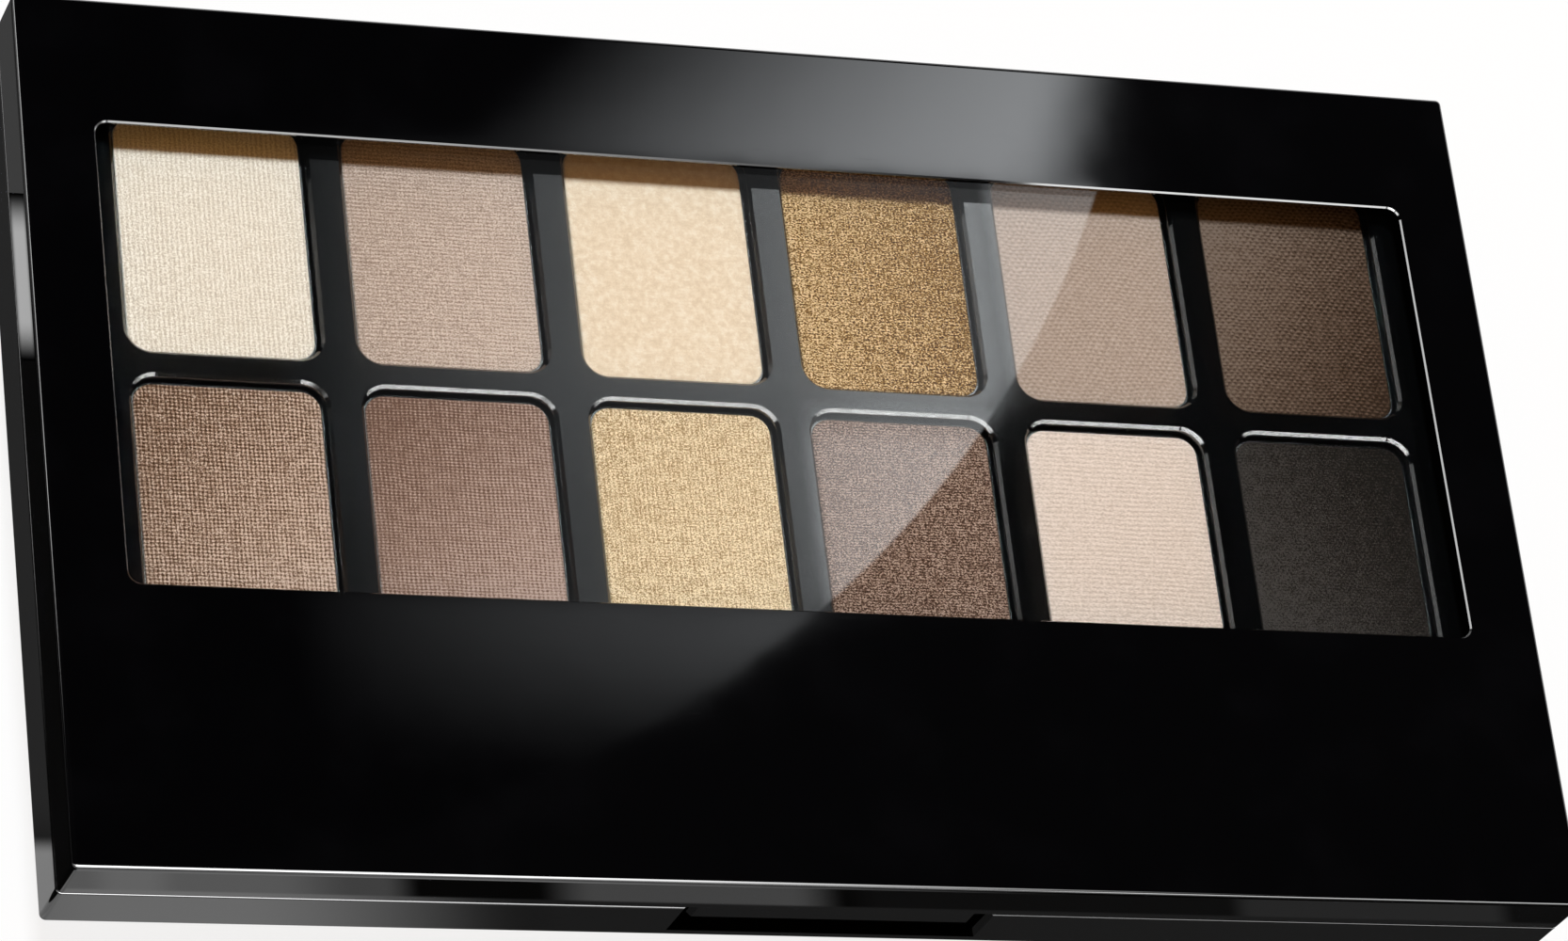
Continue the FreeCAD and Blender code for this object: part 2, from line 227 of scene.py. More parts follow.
class Finish:
    """A node tree under construction, with one method that makes any node in it."""

    def __init__(self, tree):
        self.tree = tree
        tree.nodes.clear()

    def node(self, kind, settings=None, sockets=None, output=0):
        made = self.tree.nodes.new(kind)
        for name, value in (settings or {}).items():
            setattr(made, name, value)
        for name, value in (sockets or {}).items():
            if isinstance(value, Field):
                self.tree.links.new(value.socket, made.inputs[name])
            else:
                made.inputs[name].default_value = value
        return Field(self, made.outputs[output]) if made.outputs else None

    def place(self):
        """Position on the piece in millimetres."""
        point = self.node("ShaderNodeTexCoord", output=3)
        return self.node("ShaderNodeVectorMath", {"operation": "SCALE"}, {0: point, "Scale": 1 / MM})

    def axis(self, vector, index):
        return self.node("ShaderNodeSeparateXYZ", None, {0: vector}, index)

    def stretched(self, vector, x, y, z):
        """A position squeezed along each axis, for grain that runs one way."""
        return self.node("ShaderNodeVectorMath", {"operation": "MULTIPLY"}, {0: vector, 1: (x, y, z)})

    def grain(self, vector, size, detail=2.0):
        """Soft random field from 0 to 1 with features of about that size in millimetres."""
        sockets = {"Vector": vector, "Scale": 1 / size, "Detail": detail, "Roughness": 0.5}
        return self.node("ShaderNodeTexNoise", None, sockets)

    def speckle(self, vector, size):
        """Random field with features of about that size, around 0 with a spread of about 1."""
        return 8 * (self.grain(vector, size, detail=1.0) - 0.5)

    def cells(self, vector, size, output="Distance"):
        """Random cells of about that size: the distance to each one's middle, or its own random colour."""
        return self.node("ShaderNodeTexVoronoi", None, {"Vector": vector, "Scale": 1 / size}, output)

    def blend(self, factor, first, second):
        """Mix of two colours, each a tuple or a field."""
        return self.node("ShaderNodeMix", {"data_type": "RGBA"}, {0: factor, 6: first, 7: second}, 2)

    def bump(self, height, depth):
        """Normal of a surface that the height field, from 0 to 1, raises by depth in millimetres."""
        sockets = {"Strength": 1.0, "Distance": depth * MM, "Height": height}
        return self.node("ShaderNodeBump", None, sockets)

    def show(self, shader):
        self.node("ShaderNodeOutputMaterial", None, {"Surface": shader})


def ray_kind(finish, kind):
    """What Blender knows about a ray: 1 for rays of a kind and 0 for others, or how often it turned."""
    return finish.node("ShaderNodeLightPath", output=kind)


def in_later_mirroring(finish):
    """0 for rays that turned once, and 1 for those that turned more often, as through the window."""
    return ray_kind(finish, "Ray Depth").smooth(OUTER_TURNS, OUTER_TURNS + 1)


def new_finish(name):
    material = bpy.data.materials.new(name)
    material.use_nodes = True
    return material, Finish(material.node_tree)


def colour(red, green, blue):
    return (red, green, blue, 1.0)


def from_screen(red, green, blue):
    """Linear colour from a screen colour of 0 to 255 per channel."""

    def linear(value):
        value /= 255
        return value / 12.92 if value <= 0.04045 else ((value + 0.055) / 1.055) ** 2.4

    return colour(linear(red), linear(green), linear(blue))


# Finishes of the case, tray, pans, pins and applicator

LACQUER_IOR = 1.8


def polished_black(name, base, roughness, smudge):
    """Polished black moulding: faint handling smudges, hairlines and a slight waviness of the surface."""
    material, finish = new_finish(name)
    place = finish.place()
    smudges = finish.grain(place, size=9.0, detail=3.0).smooth(0.45, 0.75)
    hairlines = finish.grain(finish.stretched(place, 0.15, 4.0, 1.0), size=0.5).smooth(0.62, 0.75)
    shade = finish.blend(smudges, colour(*base), colour(*[1.6 * channel for channel in base]))
    sockets = {
        "Base Color": shade,
        "Roughness": roughness + smudge * smudges + 0.02 * hairlines,
        "IOR": LACQUER_IOR,
        "Normal": finish.bump(finish.grain(place, size=6.0, detail=1.0), depth=0.002),
    }
    finish.show(finish.node("ShaderNodeBsdfPrincipled", None, sockets))
    return material


def moulded_tray_black():
    """Polished black moulding with faint flow marks."""
    material, finish = new_finish("tray_black")
    place = finish.place()
    flow = finish.grain(place, size=7.0)
    sockets = {
        "Base Color": finish.blend(flow, colour(0.0008, 0.0009, 0.001), colour(0.0014, 0.0016, 0.0018)),
        "Roughness": 0.03 + 0.02 * flow,
        "IOR": LACQUER_IOR,
        "Normal": finish.bump(finish.grain(place, size=5.0, detail=1.0), depth=0.001),
    }
    finish.show(finish.node("ShaderNodeBsdfPrincipled", None, sockets))
    return material


def clear_window():
    """Clear polished sheet that lets the lamps through, with barely visible smudges."""
    material, finish = new_finish("window_clear")
    place = finish.place()
    smudges = finish.grain(place, size=14.0, detail=3.0).smooth(0.5, 0.8)
    sheet = finish.node("ShaderNodeBsdfPrincipled", None, {
        "Base Color": colour(0.985, 0.995, 0.99),
        "Roughness": 0.002 + 0.02 * smudges,
        "IOR": 1.49,
        "Transmission Weight": 1.0,
    })
    passing = finish.node("ShaderNodeBsdfTransparent", None, {"Color": colour(0.97, 0.98, 0.975)})
    lamp_ray = ray_kind(finish, "Is Shadow Ray").larger(ray_kind(finish, "Is Diffuse Ray"))
    finish.show(finish.node("ShaderNodeMixShader", None, {0: lamp_ray, 1: sheet, 2: passing}))
    return material


def stamped_metal():
    """Bright stamped pan metal with drawing marks down its walls."""
    material, finish = new_finish("pan_metal")
    place = finish.place()
    marks = finish.grain(finish.stretched(place, 1.0, 1.0, 0.1), size=0.3)
    tarnish = finish.grain(place, size=4.0)
    sockets = {
        "Base Color": finish.blend(tarnish, colour(0.34, 0.34, 0.33), colour(0.44, 0.44, 0.43)),
        "Metallic": 1.0,
        "Roughness": 0.14 + 0.08 * marks,
        "Normal": finish.bump(marks, depth=0.0006),
    }
    finish.show(finish.node("ShaderNodeBsdfPrincipled", None, sockets))
    return material


def drawn_steel():
    """Drawn wire with fine lines along its length."""
    material, finish = new_finish("pin_steel")
    place = finish.place()
    lines = finish.grain(finish.stretched(place, 0.05, 1.0, 1.0), size=0.12)
    sockets = {
        "Base Color": finish.blend(lines, colour(0.50, 0.50, 0.51), colour(0.68, 0.68, 0.69)),
        "Metallic": 1.0,
        "Roughness": 0.22 + 0.16 * lines,
        "Normal": finish.bump(lines, depth=0.003),
    }
    finish.show(finish.node("ShaderNodeBsdfPrincipled", None, sockets))
    return material


def applicator_foam():
    """Fine open-cell foam: pores of two sizes painted darker as shade in their hollows, and a slightly uneven
    cream colour.
    """
    material, finish = new_finish("sponge_foam")
    place = finish.place()
    pores = finish.cells(place, size=0.32).smooth(0.1, 0.5)
    fine_pores = finish.cells(place, size=0.14).smooth(0.1, 0.5)
    patches = finish.grain(place, size=2.5)
    surface = 0.65 * pores + 0.35 * fine_pores
    cream = finish.blend(patches, colour(0.76, 0.64, 0.52), colour(0.86, 0.77, 0.66))
    sockets = {
        # The pores' hollows are painted darker as painted shade.
        "Base Color": finish.blend(0.35 - 0.35 * surface, cream, colour(0.40, 0.30, 0.22)),
        "Roughness": 0.9,
        "Specular IOR Level": 0.2,
        "Normal": finish.bump(surface, depth=0.06),
    }
    finish.show(finish.node("ShaderNodeBsdfPrincipled", None, sockets))
    return material


# Pressed powders

class Powder:
    """Look of one pressed powder.

    dark, body and light are its screen colours in the hollows, at the middle tone and on the raised grains:
    partly painted shade in the hollows and painted light on the grains, besides the powder's own uneven tone.
    threads gives the pressing cloth's thread spacing across and along the pan in millimetres. ribs, courses
    and knots say how strongly its upright threads, level threads and staggered crossings print, and wander
    how far the threads drift. grain and mottle are the strengths of the loose grain and of the patches, and
    streak is how much longer the grain is across than along. lean is painted shading: how much lighter the
    right and the back are than the left and the front. fleck is the share of the surface that glints, its
    flakes painted lighter as painted glints.
    """

    def __init__(self, shade, dark, body, light, threads=(0.40, 0.30), ribs=0.0, courses=0.0, knots=0.0,
                 wander=0.5, grain=0.8, grain_size=0.12, streak=1.0, mottle=0.2, mottle_size=0.9,
                 painted_shade_lean=(0.0, 0.0), fleck=0.0, metal=0.0, roughness=0.8):
        self.shade = shade
        self.dark = from_screen(*dark)
        self.body = from_screen(*body)
        self.light = from_screen(*light)
        self.threads = threads
        self.ribs = ribs
        self.courses = courses
        self.knots = knots
        self.wander = wander
        self.grain = grain
        self.grain_size = grain_size
        self.streak = streak
        self.mottle = mottle
        self.mottle_size = mottle_size
        self.painted_shade_lean = painted_shade_lean
        self.fleck = fleck
        self.metal = metal
        self.roughness = roughness


POWDERS = (
    Powder("champagne", dark=(200, 186, 169), body=(231, 220, 205), light=(255, 248, 238),
           threads=(0.40, 0.33), ribs=0.6, courses=0.15, grain=1.05, painted_shade_lean=(0.0, 0.2),
           fleck=0.1, metal=0.05, roughness=0.65),
    Powder("rose_taupe", dark=(147, 127, 114), body=(184, 164, 152), light=(218, 200, 188),
           threads=(0.38, 0.35), ribs=0.2, courses=0.6, wander=0.4, grain=1.0, streak=1.2,
           painted_shade_lean=(0.8, -0.4), fleck=0.08, metal=0.05, roughness=0.7),
    Powder("peach_cream", dark=(226, 204, 178), body=(235, 215, 190), light=(244, 229, 209),
           courses=0.1, grain=0.45, mottle=0.9, mottle_size=0.5, fleck=0.04, roughness=0.7),
    Powder("bronze_gold", dark=(60, 29, 0), body=(136, 100, 45), light=(234, 204, 161),
           courses=0.25, ribs=0.15, grain=1.1, streak=1.5, painted_shade_lean=(-0.9, 0.0),
           fleck=0.2, metal=0.1, roughness=0.6),
    Powder("pink_taupe", dark=(150, 133, 120), body=(171, 152, 140), light=(191, 173, 162),
           threads=(0.58, 0.38), courses=0.6, knots=0.5, wander=0.8, grain=0.6, roughness=0.85),
    Powder("dark_brown", dark=(46, 33, 24), body=(88, 72, 61), light=(120, 105, 95),
           threads=(0.57, 0.34), courses=0.45, knots=0.5, wander=0.8, grain=0.45, painted_shade_lean=(-2.2, 1.4),
           roughness=0.85),
    Powder("bronze_brown", dark=(69, 46, 28), body=(141, 115, 98), light=(219, 195, 179),
           threads=(0.34, 0.33), ribs=0.6, courses=0.55, grain=0.7, painted_shade_lean=(0.9, -1.1),
           fleck=0.12, metal=0.06, roughness=0.65),
    Powder("taupe_brown", dark=(99, 74, 62), body=(144, 119, 107), light=(192, 168, 158),
           threads=(0.37, 0.27), ribs=0.55, courses=0.6, knots=0.2, grain=0.5, painted_shade_lean=(1.2, -1.7)),
    Powder("gold", dark=(150, 122, 84), body=(210, 183, 145), light=(255, 236, 203),
           ribs=0.4, courses=0.2, grain=1.3, mottle=0.35, painted_shade_lean=(0.3, -0.5),
           fleck=0.18, metal=0.08, roughness=0.6),
    Powder("plum_brown", dark=(48, 30, 20), body=(100, 77, 65), light=(180, 156, 143),
           threads=(0.40, 0.25), courses=0.4, grain=1.1, streak=1.3,
           fleck=0.15, metal=0.06, roughness=0.65),
    Powder("pink_beige", dark=(198, 180, 168), body=(219, 202, 191), light=(235, 219, 210),
           threads=(0.42, 0.42), courses=0.6, wander=0.35, streak=2.0,
           painted_shade_lean=(-0.6, 0.6)),
    Powder("black", dark=(20, 18, 16), body=(42, 38, 36), light=(65, 62, 60),
           threads=(0.45, 0.30), courses=0.25, knots=0.3, wander=0.8, grain=0.95, mottle=0.25,
           painted_shade_lean=(-2.5, -1.4), fleck=0.02, roughness=0.85),
)

# Cloth print: how far the upright and level threads drift and jitter, how strong the print is at least and
# how much stronger in patches, its depth in millimetres, and how strongly the knots and the loose grain show
RIB_DRIFT = 0.15
COURSE_DRIFT = 0.30
THREAD_JITTER = 0.1
PRINT_LEAST = 1.1
PRINT_PATCHES = 0.7
PRINT_DEPTH = 0.02
KNOT_GAIN = 1.4
GRAIN_GAIN = 1.2

# Spread of the tones around the body colour, and the size, painted glint lightness and polish of the flakes
TONE_SPREAD = 0.27
FLAKE_SIZE = 0.12
FLAKE_PAINTED_GLINT = 0.6
FLAKE_POLISH = 0.15


def pressed_powder(powder):
    """Pressed powder: cloth print, loose grain, patchy colour, painted shade and shading, and painted glints
    on flecks.
    """
    material, finish = new_finish("powder_" + powder.shade)
    place = finish.place()
    share = finish.node("ShaderNodeTexCoord", output=0)
    drift = finish.speckle(place, size=4.0)
    jitter = finish.speckle(place, size=0.7)
    rib_shift = powder.wander * (RIB_DRIFT * drift + THREAD_JITTER * jitter)
    course_shift = powder.wander * (COURSE_DRIFT * drift - THREAD_JITTER * jitter)
    across = finish.axis(place, 0) / powder.threads[0] + rib_shift
    along = finish.axis(place, 1) / powder.threads[1] - course_shift
    ribs = (TURN * across).sine()
    courses = (TURN * along).sine()
    knots = ribs * (TURN / 2 * along).sine()
    print_strength = PRINT_LEAST + PRINT_PATCHES * finish.grain(place, size=1.6).smooth(0.3, 0.7)
    weave = powder.ribs * ribs + powder.courses * courses + KNOT_GAIN * powder.knots * knots
    grain = finish.speckle(finish.stretched(place, 1 / powder.streak, 1, 1), powder.grain_size)
    patches = finish.speckle(place, powder.mottle_size)
    relief = print_strength * weave + GRAIN_GAIN * powder.grain * grain
    # Painted shading: the tone is made lighter to the right and the back by the lean.
    painted_shade_right, painted_shade_back = powder.painted_shade_lean
    painted_shade_lean = painted_shade_right * (finish.axis(share, 0) - 0.5) + painted_shade_back * (finish.axis(share, 1) - 0.5)
    # Darker in the hollows of the print and grain and lighter on their raised parts: partly painted shade and
    # light, besides the powder's own uneven tone and patches.
    tone = 0.5 + TONE_SPREAD * (relief + powder.mottle * patches + painted_shade_lean)
    lower = finish.blend(2 * tone, powder.dark, powder.body)
    shade = finish.blend(2 * tone - 1, lower, powder.light)
    flake = finish.axis(finish.cells(place, FLAKE_SIZE, "Color"), 0)
    glint = flake.smooth(1.0 - 0.5 * powder.fleck, 1.02 - 0.5 * powder.fleck)
    sockets = {
        # The glinting flakes are painted lighter as painted glints; their metal and polish are real.
        "Base Color": finish.blend(FLAKE_PAINTED_GLINT * glint, shade, powder.light),
        "Roughness": powder.roughness - FLAKE_POLISH * glint,
        "Metallic": powder.metal * (0.3 + 0.7 * glint),
        "Specular IOR Level": 0.05,
        "Normal": finish.bump(0.5 + 0.2 * relief, PRINT_DEPTH),
    }
    finish.show(finish.node("ShaderNodeBsdfPrincipled", None, sockets))
    return material


# Meshes of the pieces that stand for plain solids

CAKE_CORNER = 1.68 * MM
CAKE_EDGE_ROUND = 0.12 * MM
CAKE_DISH = 0.05 * MM
CAKE_CRUMBLE = 0.02 * MM
CAKE_WAVES = 4
CAKE_WAVES_PER_METRE = 60
CAKE_EDGE_LINES = (0.0, 0.05, 0.13, 0.26, 0.45, 0.8, 1.3)
CAKE_CELL = 0.9 * MM


def graded_lines(half):
    """Grid lines across a cake from -half to half, close together near both edges."""
    near = [half - step * MM for step in CAKE_EDGE_LINES]
    inner = near[-1]
    count = max(2, round(2 * inner / CAKE_CELL))
    middle = [inner - 2 * inner * step / count for step in range(1, count)]
    return [-line for line in near] + middle[::-1] + near[::-1]


def into_rounded(x, y, half_x, half_y, corner):
    """Moves a point of a rectangle into its rounded rectangle, and adds how far it is from the edge."""
    over_x = (abs(x) - (half_x - corner)) / corner
    over_y = (abs(y) - (half_y - corner)) / corner
    if over_x <= 0 or over_y <= 0:
        return x, y, min(half_x - abs(x), half_y - abs(y))
    round_x = over_x * math.sqrt(1 - over_y * over_y / 2)
    round_y = over_y * math.sqrt(1 - over_x * over_x / 2)
    new_x = math.copysign(half_x - corner + corner * round_x, x)
    new_y = math.copysign(half_y - corner + corner * round_y, y)
    return new_x, new_y, corner * max(0.0, 1 - math.hypot(round_x, round_y))


def cake_height(x, y, depth, swell, draw):
    """Height below the cake's top: rounded at the edge, and slightly uneven inside it."""
    drop = 0.0
    if depth < CAKE_EDGE_ROUND:
        inset = CAKE_EDGE_ROUND - depth
        drop = CAKE_EDGE_ROUND - math.sqrt(CAKE_EDGE_ROUND ** 2 - inset ** 2)
    heights = [math.sin(TURN * (x * across + y * along) + phase) for across, along, phase in swell]
    waves = sum(heights) / len(swell)
    return drop + CAKE_DISH * (0.5 + 0.5 * waves) + CAKE_CRUMBLE * draw.random()


def cake_wave(draw):
    """One slow random wave of a cake's face: its waves per metre across and along, and where it starts."""
    across = draw.uniform(-CAKE_WAVES_PER_METRE, CAKE_WAVES_PER_METRE)
    along = draw.uniform(-CAKE_WAVES_PER_METRE, CAKE_WAVES_PER_METRE)
    return across, along, draw.uniform(0, TURN)


def pressed_cake(node, name, seed):
    """Pressed powder cake in the space of its plain solid, with a soft uneven face."""
    low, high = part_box(node)
    middle = (low + high) / 2
    half = (high - low) / 2
    draw = random.Random(seed)
    swell = [cake_wave(draw) for _ in range(CAKE_WAVES)]
    columns = graded_lines(half.x)
    rows = graded_lines(half.y)
    mesh = bmesh.new()
    grid = []
    for y in rows:
        line = []
        for x in columns:
            new_x, new_y, depth = into_rounded(x, y, half.x, half.y, CAKE_CORNER)
            drop = cake_height(new_x, new_y, depth, swell, draw)
            line.append(mesh.verts.new((middle.x + new_x, middle.y + new_y, high.z - drop)))
        grid.append(line)
    for row, next_row in zip(grid, grid[1:]):
        for step in range(len(columns) - 1):
            mesh.faces.new((row[step], row[step + 1], next_row[step + 1], next_row[step]))
    rim = [edge for edge in mesh.edges if edge.is_boundary]
    wall = bmesh.ops.extrude_edge_only(mesh, edges=rim)["geom"]
    foot = [item for item in wall if isinstance(item, bmesh.types.BMVert)]
    for corner in foot:
        corner.co.z = low.z
    bmesh.ops.contextual_create(mesh, geom=[edge for edge in mesh.edges if edge.is_boundary])
    bmesh.ops.recalc_face_normals(mesh, faces=mesh.faces)
    return finished_mesh(mesh, name)


def finished_mesh(mesh, name):
    """Turns built geometry into a smooth shaded object of the scene."""
    data = bpy.data.meshes.new(name)
    mesh.to_mesh(data)
    mesh.free()
    data.shade_smooth()
    piece = bpy.data.objects.new(name, data)
    bpy.context.scene.collection.objects.link(piece)
    return piece


SPONGE_RINGS = 28
SPONGE_SIDES = 40
SPONGE_ROOT_SHARE = 0.613
SPONGE_WIDEST = 0.5
SPONGE_POINT = 2.2
SPONGE_FLATNESS = 1.25
SPONGE_LIP = 0.75
SPONGE_LIP_RISE = 6
SPONGE_SOFTNESS = 2.5
SPONGE_UNEVEN = 0.04 * MM
SPONGE_FIT = 0.985
SPONGE_MERGE = 0.002 * MM


def foam_spread(share):
    """Share of the foam's full width at a share of its length: swelling from the root, round at the tip."""
    if share > SPONGE_WIDEST:
        beyond = (share - SPONGE_WIDEST) / (1 - SPONGE_WIDEST)
        return math.sqrt(max(0.0, 1 - beyond ** SPONGE_POINT))
    return SPONGE_ROOT_SHARE + (1 - SPONGE_ROOT_SHARE) * math.sin(math.pi / 2 * share / SPONGE_WIDEST)


def foam_tip(node, name, side, seed):
    """Soft flattened almond of foam in the space of its plain solid, root at the handle's collar."""
    low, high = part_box(node)
    middle = (low + high) / 2
    half = (high - low) / 2
    root_x, tip_x = (low.x, high.x) if side > 0 else (high.x, low.x)
    draw = random.Random(seed)
    mesh = bmesh.new()
    rings = []
    for step in range(SPONGE_RINGS + 1):
        along = step / SPONGE_RINGS
        share = math.sin(math.pi / 2 * along)
        spread = foam_spread(share)
        lip = min(1.0, SPONGE_LIP + SPONGE_LIP_RISE * share)
        width = half.y * spread * lip * SPONGE_FIT
        thick = half.z * min(1.0, SPONGE_FLATNESS * spread) * lip * SPONGE_FIT
        ring = []
        for number in range(SPONGE_SIDES):
            angle = TURN * number / SPONGE_SIDES
            corner = abs(math.cos(angle)) ** SPONGE_SOFTNESS + abs(math.sin(angle)) ** SPONGE_SOFTNESS
            reach = corner ** (-1 / SPONGE_SOFTNESS) - SPONGE_UNEVEN / half.z * draw.random()
            y = middle.y + width * reach * math.cos(angle)
            z = middle.z + thick * reach * math.sin(angle)
            ring.append(mesh.verts.new((root_x + (tip_x - root_x) * share, y, z)))
        rings.append(ring)
    for ring, next_ring in zip(rings, rings[1:]):
        for number in range(SPONGE_SIDES):
            after = (number + 1) % SPONGE_SIDES
            mesh.faces.new((ring[number], ring[after], next_ring[after], next_ring[number]))
    mesh.faces.new(rings[0])
    bmesh.ops.remove_doubles(mesh, verts=mesh.verts, dist=SPONGE_MERGE)
    bmesh.ops.recalc_face_normals(mesh, faces=mesh.faces)
    return finished_mesh(mesh, name)


def dress(node, material):
    """Gives a CAD piece its finish."""
    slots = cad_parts[node].data.materials
    slots.clear()
    slots.append(material)


def stand_for(piece, node, material):
    """Puts a made piece in the place of its plain solid on the base."""
    piece.data.materials.append(material)
    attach(piece, "base")
    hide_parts(node)


case_black = polished_black("case_black", (0.0010, 0.0010, 0.0013), roughness=0.03, smudge=0.012)
handle_black = polished_black("handle_black", (0.004, 0.004, 0.0045), roughness=0.16, smudge=0.05)
pan_metal = stamped_metal()
pin_steel = drawn_steel()
sponge_foam = applicator_foam()

dress("base_shell", case_black)
dress("lid_frame", case_black)
dress("window_pane", clear_window())
dress("pan_tray", moulded_tray_black())
dress("applicator_handle", handle_black)
for end in ("left", "right"):
    dress("hinge_pin_" + end, pin_steel)

for number, powder in enumerate(POWDERS, start=1):
    dress(f"pan_{number:02d}", pan_metal)
    cake = pressed_cake(f"powder_{number:02d}", f"pressed_powder_{number:02d}", seed=number)
    stand_for(cake, f"powder_{number:02d}", pressed_powder(powder))

for end, side in (("left", -1), ("right", 1)):
    tip = foam_tip("sponge_tip_" + end, "foam_tip_" + end, side, seed=side + 40)
    stand_for(tip, "sponge_tip_" + end, sponge_foam)


# Studio

SQUARE = ((-1, -1), (1, -1), (1, 1), (-1, 1))

# Floor beside the front and left walls as the gloss shows it, in millimetres: a dark strip along each wall, a
# painted shadow, with lighter stretches of painted light in it. The part nearest a wall shows in the base, and
# the part beyond it in the lid. Farther out in front the floor is painted dark to the right
FRONT_EDGE = cad_box[0][1] / MM
LEFT_EDGE = cad_box[0][0] / MM
STRIP_DARK = 0.007
STRIP_SOFT = 0.1
FRONT_BASE_STRIP = 2.7
FRONT_STRIP = 6.0
FRONT_FAR_STRIP = 400.0
FRONT_FAR_DARK = (-25.0, 28.0)
SIDE_BASE_STRIP = 1.45
SIDE_STRIP = 400.0

# Lighter stretches of painted light in the strips: where each starts and ends along the wall, how soft its
# ends are and how bright it is
FRONT_BASE_PATCHES = ((-70.0, -35.0, 13.0, 0.68), (-25.0, 70.0, 4.0, 0.045))
FRONT_LID_PATCHES = (
    (-70.0, -34.0, 1.6, 0.24),
    (-70.0, -41.0, 3.5, 0.22),
    (-58.0, -53.0, 1.5, 0.14),
    (-20.5, 0.6, 2.5, 0.25),
    (4.0, 70.0, 2.0, 0.012),
    (37.3, 61.3, 1.2, 0.065),
)
SIDE_BASE_PATCHES = ((-50.0, -31.2, 0.8, 0.60), (-31.2, 60.0, 4.0, 0.05))
SIDE_LID_PATCHES = ((20.0, 60.0, 4.0, 0.13),)


def card(name, corners, material):
    """Flat lamp card or floor from its corners; part of the stage and not of the palette."""
    data = bpy.data.meshes.new(name)
    data.from_pydata([tuple(corner) for corner in corners], [], [tuple(range(len(corners)))])
    data.materials.append(material)
    made = bpy.data.objects.new(name, data)
    bpy.context.scene.collection.objects.link(made)
    return made


def only_mirrored(lamp_card):
    """A card that shows in gloss and glass but neither to the camera nor as light on dull surfaces."""
    lamp_card.visible_camera = False
    lamp_card.visible_diffuse = False
    lamp_card.visible_shadow = False
    return lamp_card


def hump(field, low, high, soft):
    """1 between low and high, falling softly to 0 outside them."""
    return field.smooth(low - soft, low + soft) * (1 - field.smooth(high - soft, high + soft))


def patchwork(field, patches):
    """Brightness along a strip of floor from its lighter stretches."""
    return sum(level * hump(field, low, high, soft) for low, high, soft, level in patches)


def mirrored_floor(finish):
    """Floor as the gloss shows it: white, with painted shadow and painted light along the front and left
    walls.
    """
    place = finish.place()
    x = finish.axis(place, 0)
    y = finish.axis(place, 1)
    before = FRONT_EDGE - y
    beside = LEFT_EDGE - x
    in_front = hump(before, 0, FRONT_STRIP, STRIP_SOFT) * x.smooth(LEFT_EDGE - 2 * STRIP_SOFT, LEFT_EDGE)
    far_in_front = hump(before, FRONT_STRIP, FRONT_FAR_STRIP, STRIP_SOFT) * x.smooth(*FRONT_FAR_DARK)
    at_side = hump(beside, 0, SIDE_STRIP, STRIP_SOFT)
    by_lid = before.smooth(FRONT_BASE_STRIP - STRIP_SOFT, FRONT_BASE_STRIP + STRIP_SOFT)
    by_side_lid = beside.smooth(SIDE_BASE_STRIP - STRIP_SOFT, SIDE_BASE_STRIP + STRIP_SOFT)
    front = (1 - by_lid) * patchwork(x, FRONT_BASE_PATCHES) + by_lid * patchwork(x, FRONT_LID_PATCHES)
    side = (1 - by_side_lid) * patchwork(y, SIDE_BASE_PATCHES) + by_side_lid * patchwork(y, SIDE_LID_PATCHES)
    inside = in_front.larger(far_in_front).larger(at_side)
    return (1 - inside) + inside * (STRIP_DARK + in_front * front + at_side * side)


def white_floor():
    """White floor that keeps the case's shadow."""
    material, finish = new_finish("floor_white")
    lit = finish.node("ShaderNodeBsdfDiffuse", None, {"Color": FLOOR_COLOUR})
    mirrored = ray_kind(finish, "Is Glossy Ray")
    seen = ray_kind(finish, "Is Camera Ray").larger(mirrored).larger(ray_kind(finish, "Is Transmission Ray"))
    strength = 1 - mirrored * (1 - mirrored_floor(finish))
    plain = finish.node("ShaderNodeEmission", None, {"Color": colour(1, 1, 1), "Strength": strength})
    share = FLOOR_PLAIN_SHARE * seen + (1 - FLOOR_PLAIN_SHARE) * mirrored
    finish.show(finish.node("ShaderNodeMixShader", None, {0: share, 1: lit, 2: plain}))
    return material


